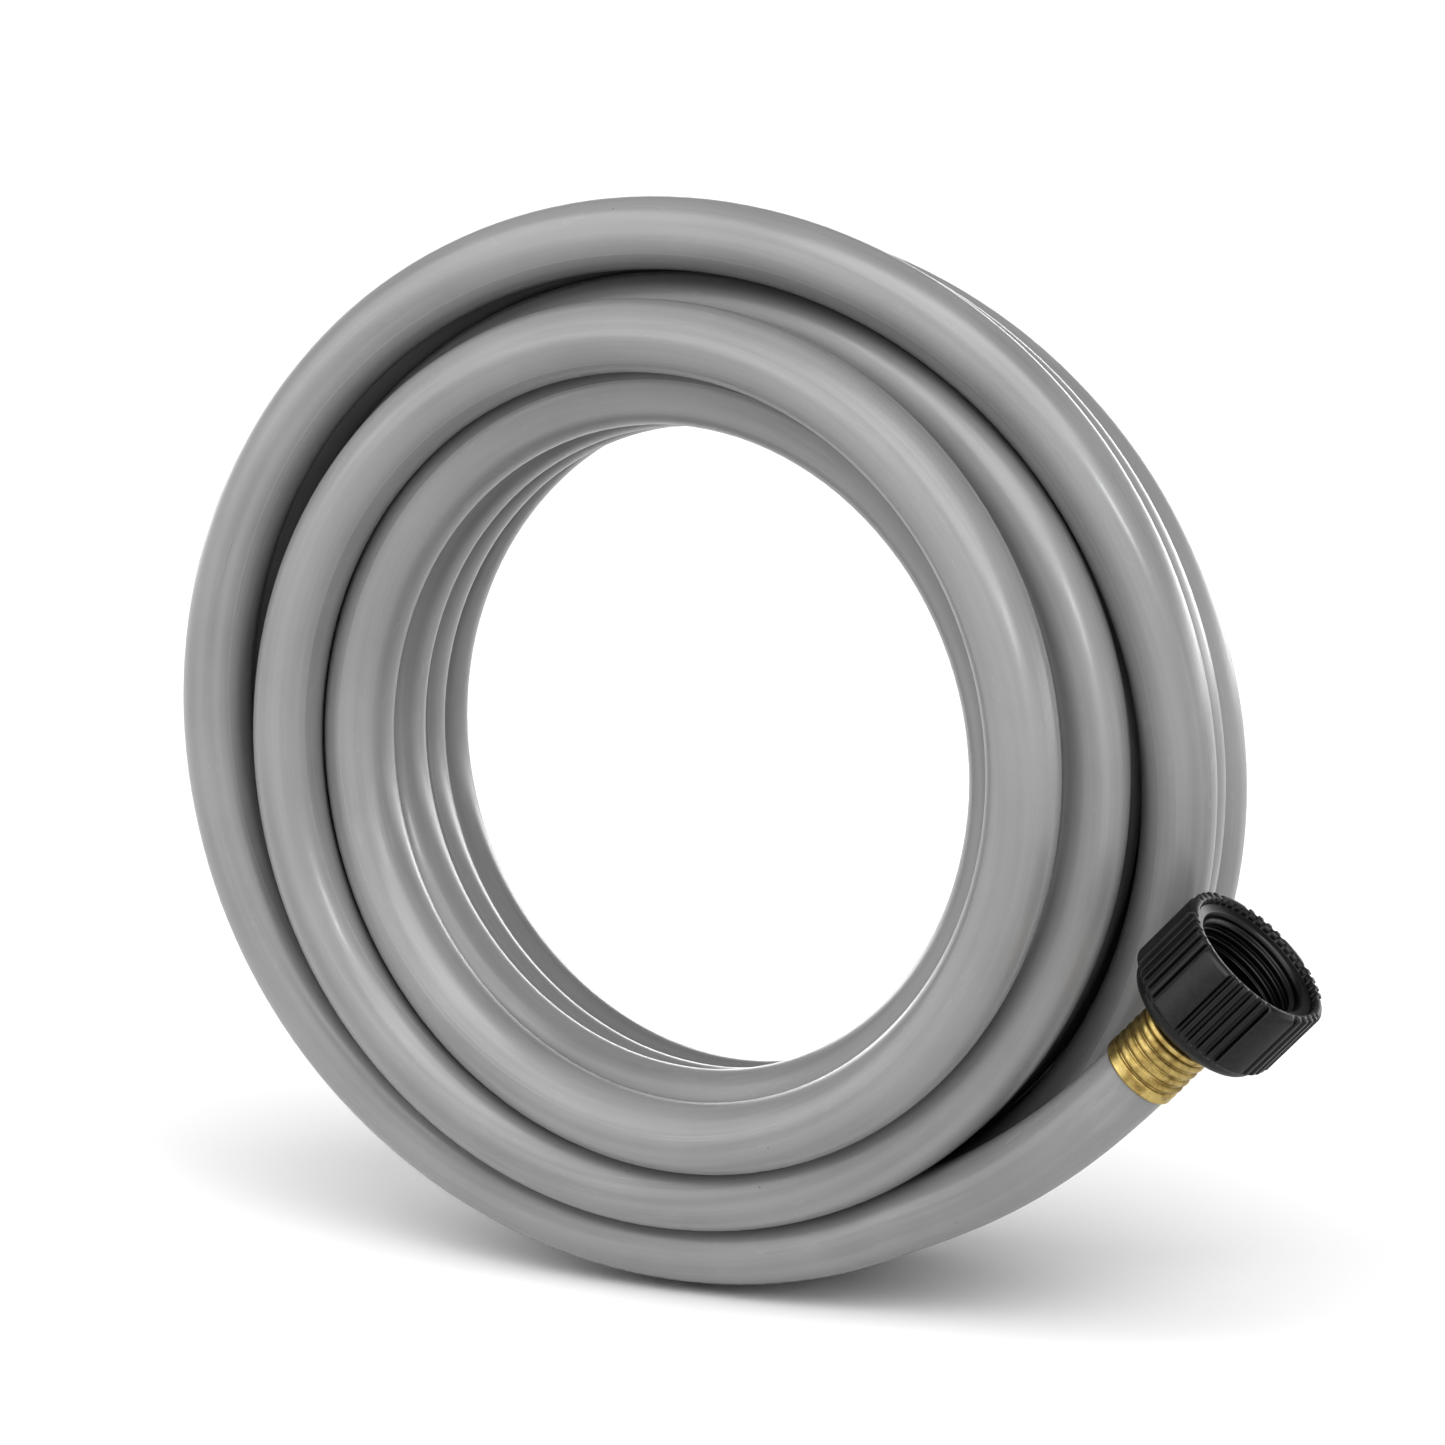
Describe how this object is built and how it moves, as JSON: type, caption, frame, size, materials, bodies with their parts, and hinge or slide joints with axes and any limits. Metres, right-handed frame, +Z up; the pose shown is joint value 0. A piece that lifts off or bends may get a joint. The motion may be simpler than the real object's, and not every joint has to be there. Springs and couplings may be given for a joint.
{
  "type": "coiled water hose with swivel nut",
  "caption": "Coiled grey vinyl hose standing on its edge, with a swivel nut at one end and a male threaded coupling at the other.",
  "frame": {"origin": "middle of the whole object's box, on the surface that the coil stands on", "axes": "+Z up; the coil's axis along Y with its front, where the nut is, towards -Y; +X towards the nut's side"},
  "size_m": [0.2944, 0.1016, 0.2587],
  "materials": {
    "hose_vinyl": "satin mid-grey vinyl",
    "brass": "pressed brass, lightly tarnished",
    "nut_plastic": "satin black moulded plastic",
    "washer_rubber": "matt black rubber"
  },
  "bodies": {
    "hose": {"hose_coil": "hose_vinyl", "hose_front_tail": "hose_vinyl", "hose_back_tail": "hose_vinyl", "hose_front_end": "hose_vinyl", "hose_back_end": "hose_vinyl", "front_ferrule": "brass", "back_ferrule": "brass", "swivel_stem": "brass", "male_coupling": "brass"},
    "nut": {"swivel_nut": "nut_plastic", "hose_washer": "washer_rubber"}
  },
  "joints": [
    {"name": "nut_swivel", "type": "hinge", "parent": "hose", "child": "nut", "pos_m": [0.1257, -0.03165, 0.08689], "axis": [0.6896, 0, 0.7242], "continuous": true}
  ]
}
